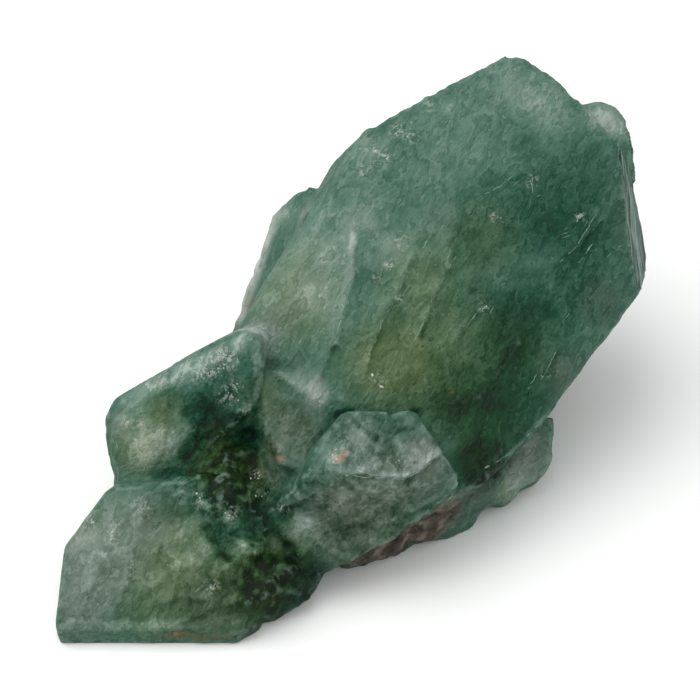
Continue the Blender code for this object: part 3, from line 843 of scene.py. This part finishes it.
# Loose pale grains: place, reach in pixels, how many, and the middle grain's width in millimetres
SUGARY_PLACES = [
    (224, 356, 11, 18, 0.26), (214, 370, 9, 10, 0.22), (232, 390, 12, 9, 0.20), (200, 374, 8, 5, 0.22),
    (128, 423, 6, 6, 0.26), (142, 425, 5, 4, 0.24), (201, 497, 8, 5, 0.24), (231, 512, 8, 6, 0.26),
    (262, 490, 8, 3, 0.24), (400, 133, 10, 6, 0.20), (386, 158, 6, 5, 0.22), (374, 150, 3, 3, 0.28),
    (90, 522, 7, 4, 0.22), (112, 536, 7, 3, 0.22), (336, 458, 6, 8, 0.28), (256, 476, 6, 5, 0.26),
    (320, 398, 8, 5, 0.22), (370, 377, 2, 1, 0.40), (381, 387, 2, 1, 0.44), (390, 264, 4, 4, 0.28),
    (580, 217, 2, 2, 0.36),
]

# Dark tufts of chlorite standing in pits, told the same way
TUFTED_PLACES = [
    (335, 347, 1.5, 4, 0.30), (505, 323, 1, 3, 0.26), (521, 336, 1.5, 3, 0.28), (422, 487, 1, 2, 0.26),
    (423, 500, 1, 2, 0.26), (340, 525, 1, 2, 0.26), (320, 502, 1, 2, 0.24), (108, 591, 1.5, 2, 0.26),
    (127, 591, 1.5, 2, 0.26), (113, 606, 1, 2, 0.22), (527, 378, 1, 1, 0.22), (496, 371, 1, 1, 0.22),
    (480, 462, 14, 8, 0.26), (376, 164, 1.5, 2, 0.24),
]


def piece_of(name, bm, material):
    """A finished mesh as one piece of the specimen."""
    bmesh.ops.scale(bm, vec=(MM, MM, MM), verts=bm.verts)
    mesh = bpy.data.meshes.new(name)
    bm.to_mesh(mesh)
    bm.free()
    mesh.materials.append(material)
    piece = bpy.data.objects.new(name, mesh)
    bpy.context.scene.collection.objects.link(piece)
    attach(piece, "root")
    return piece


def add_splinter(bm, skin, tree, run, width, dice):
    """A thin lip of broken quartz lying along the places given, thickest at its middle."""
    rings = []
    for k in range(len(run)):
        place, normal = skin.seen_at(*run[k], tree)
        ahead, _ = skin.seen_at(*run[min(k + 1, len(run) - 1)], tree)
        behind, _ = skin.seen_at(*run[max(k - 1, 0)], tree)
        if not (place and ahead and behind) or (ahead - behind).length > LONGEST_SPAN:
            return
        side = (ahead - behind).cross(normal).normalized()
        half = 0.5 * width * (0.2 + 0.8 * math.sin(math.pi * (k + 0.5) / len(run))) * dice.uniform(0.6, 1.2)
        corners = (
            place + side * half, place + normal * half * 0.4, place - side * half, place - normal * half,
        )
        rings.append([bm.verts.new(corner) for corner in corners])
    for near, far in zip(rings, rings[1:]):
        for k in range(4):
            bm.faces.new((near[k], near[(k + 1) % 4], far[(k + 1) % 4], far[k]))
    bm.faces.new(rings[0][::-1])
    bm.faces.new(rings[-1])


def broken_run(ends, dice, step=3.0, wander=0.5):
    """Places a few pixels apart along a line, each a little off it."""
    run = []
    for (x0, y0), (x1, y1) in zip(ends, ends[1:]):
        pieces = max(1, round(math.hypot(x1 - x0, y1 - y0) / step))
        for k in range(pieces):
            share = k / pieces
            x = x0 + (x1 - x0) * share + dice.uniform(-wander, wander)
            y = y0 + (y1 - y0) * share + dice.uniform(-wander, wander)
            run.append((x, y))
    return run + [ends[-1]]


def splinters(skin, tree):
    """The lips of steps and scratches that catch the light, broken into short lengths."""
    dice = random.Random(7)
    bm = bmesh.new()
    for *ends, width in BRIGHT_LINES:
        run = broken_run(ends, dice)
        while len(run) > 1:
            length = dice.randint(2, 5)
            add_splinter(bm, skin, tree, run[:length], width * dice.uniform(0.5, 1.2), dice)
            run = run[length - 1 + dice.randint(0, 2) :]
    for across, down, reach, how_many, way in SCRATCHED_PLACES:
        for _ in range(how_many):
            x, y = across + dice.gauss(0, reach / 2), down + dice.gauss(0, reach / 2)
            turn = math.radians(way + dice.gauss(0, SCRATCH_STRAY))
            length = dice.uniform(*SCRATCH_LENGTHS)
            far = (x + length * math.cos(turn), y - length * math.sin(turn))
            run = broken_run([(x, y), far], dice, 2.5, 0.25)
            add_splinter(bm, skin, tree, run, dice.uniform(*SCRATCH_WIDTHS), dice)
    bmesh.ops.recalc_face_normals(bm, faces=bm.faces)
    # Broken edges with little chlorite in them, so that they stand out pale against the clouded face
    broken_edge = plain_mineral("quartz_broken_lip", "#768d80", "#3c5748", 0.9, 0.5)
    return piece_of("broken_lips", bm, broken_edge)


def grains(skin, tree, name, places, material, seed, flatness):
    """Small angular grains, longer than they are wide, sunk a tenth of their size into the skin."""
    dice = random.Random(seed)
    bm = bmesh.new()
    for across, down, reach, how_many, width in places:
        for _ in range(how_many):
            x, y = across + dice.gauss(0, reach / 2), down + dice.gauss(0, reach / 2)
            place, normal = skin.seen_at(x, y, tree)
            if not place:
                continue
            made = bmesh.ops.create_icosphere(bm, subdivisions=1, radius=0.5)["verts"]
            size = width * dice.uniform(0.5, 1.3)
            spin = Matrix.Rotation(dice.uniform(0, math.tau), 3, "Z")
            turn = normal.to_track_quat("Z", "Y").to_matrix() @ spin
            for vert in made:
                jitter = Vector([dice.uniform(-0.16, 0.16) for _ in range(3)])
                shape = (vert.co + jitter) * size
                shape = Vector((shape.x * 1.2, shape.y * 0.8, shape.z * flatness))
                vert.co = place - normal * size * 0.1 + turn @ shape
    return piece_of(name, bm, material)


def specimen():
    """The grown crystals and their matrix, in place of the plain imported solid, and what lies on them."""
    skin = Skin(frame["nodes"]["quartz_cluster"])
    shape_skin(skin)
    for face in skin.mesh.polygons:
        face.use_smooth = True
    skin.mesh.materials.clear()
    skin.mesh.materials.append(chlorite_quartz())
    piece = bpy.data.objects.new("grown_quartz", skin.mesh)
    bpy.context.scene.collection.objects.link(piece)
    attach(piece, "root")
    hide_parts("quartz_cluster")
    bpy.context.view_layer.update()
    tree = BVHTree.FromObject(piece, bpy.context.evaluated_depsgraph_get())
    splinters(skin, tree)
    # Tiny crystals grown last, free of chlorite, so they are cream and matt
    crust = plain_mineral("quartz_crust_cream", "#c0bcb0", "#7f8e82", 0.5, 0.6)
    grains(skin, tree, "pale_crust", SUGARY_PLACES, crust, 11, 0.45)
    # Chlorite by itself: a green near black, with no gloss to give it a highlight
    tufts = plain_mineral("chlorite_tuft", "#14231a", "#050a07", 0.5, 0.8)
    grains(skin, tree, "dark_tufts", TUFTED_PLACES, tufts, 12, 0.25)


def floor_paint():
    """Matt pale paint, so that the floor takes a soft shadow and mirrors nothing."""
    material = bpy.data.materials.new("pale_floor")
    material.use_nodes = True
    surface = material.node_tree.nodes["Principled BSDF"]
    surface.inputs["Base Color"].default_value = to_linear("#f4f4f2")
    surface.inputs["Roughness"].default_value = 0.9
    surface.inputs["Specular IOR Level"].default_value = 0.1
    return material


# The two soft boxes: where each hangs and how wide it is, in metres, and its power in watts
SOFT_BOXES = {
    "softbox_left": ((-0.32, 0.03, 0.64), 0.80, 4.2),
    "softbox_front": ((0.10, -0.50, 0.60), 0.60, 0.8),
}
# The place that they point at, in metres, and how strongly the room lights the stone from all sides
LIT_PLACE = Vector((0, 0, 0.015))
ROOM_STRENGTH = 0.77
# How far the floor lies under the specimen in millimetres, so that the two don't share a plane
FLOOR_GAP = 0.02


def studio():
    """A plain pale floor, a broad soft light from the upper left, and a dim even room."""
    bm = bmesh.new()
    bmesh.ops.create_grid(bm, x_segments=2, y_segments=2, size=1.5)
    mesh = bpy.data.meshes.new("studio_floor")
    bm.to_mesh(mesh)
    bm.free()
    floor = bpy.data.objects.new("studio_floor", mesh)
    floor.location.z = -FLOOR_GAP * MM
    mesh.materials.append(floor_paint())
    bpy.context.scene.collection.objects.link(floor)
    for name, (place, size, watts) in SOFT_BOXES.items():
        light = bpy.data.lights.new(name, "AREA")
        light.shape = "SQUARE"
        light.size = size
        light.energy = watts
        lamp = bpy.data.objects.new(name, light)
        lamp.location = place
        lamp.rotation_euler = (LIT_PLACE - Vector(place)).to_track_quat("-Z", "Y").to_euler()
        bpy.context.scene.collection.objects.link(lamp)
    world = bpy.data.worlds.new("studio_room")
    world.use_nodes = True
    glow = world.node_tree.nodes["Background"]
    glow.inputs["Color"].default_value = to_linear("#f2f4f6")
    glow.inputs["Strength"].default_value = ROOM_STRENGTH
    bpy.context.scene.world = world


def camera():
    """The photograph's view: straight from the front, looking down on the specimen."""
    eye = bpy.data.cameras.new("front_camera")
    eye.lens = CAMERA_LENS
    eye.sensor_width = SENSOR_WIDTH
    eye.clip_start = 0.01
    seen = bpy.data.objects.new("front_camera", eye)
    back = camera_axes()[2]
    seen.location = (LOOKED_AT + back * CAMERA_OFF) * MM
    seen.rotation_euler = back.to_track_quat("Z", "Y").to_euler()
    bpy.context.scene.collection.objects.link(seen)
    bpy.context.scene.camera = seen


for old in [thing for thing in bpy.data.objects if thing.name in ("Cube", "Light", "Camera")]:
    bpy.data.objects.remove(old)
bpy.context.scene.view_settings.view_transform = "Standard"
camera()
studio()
specimen()
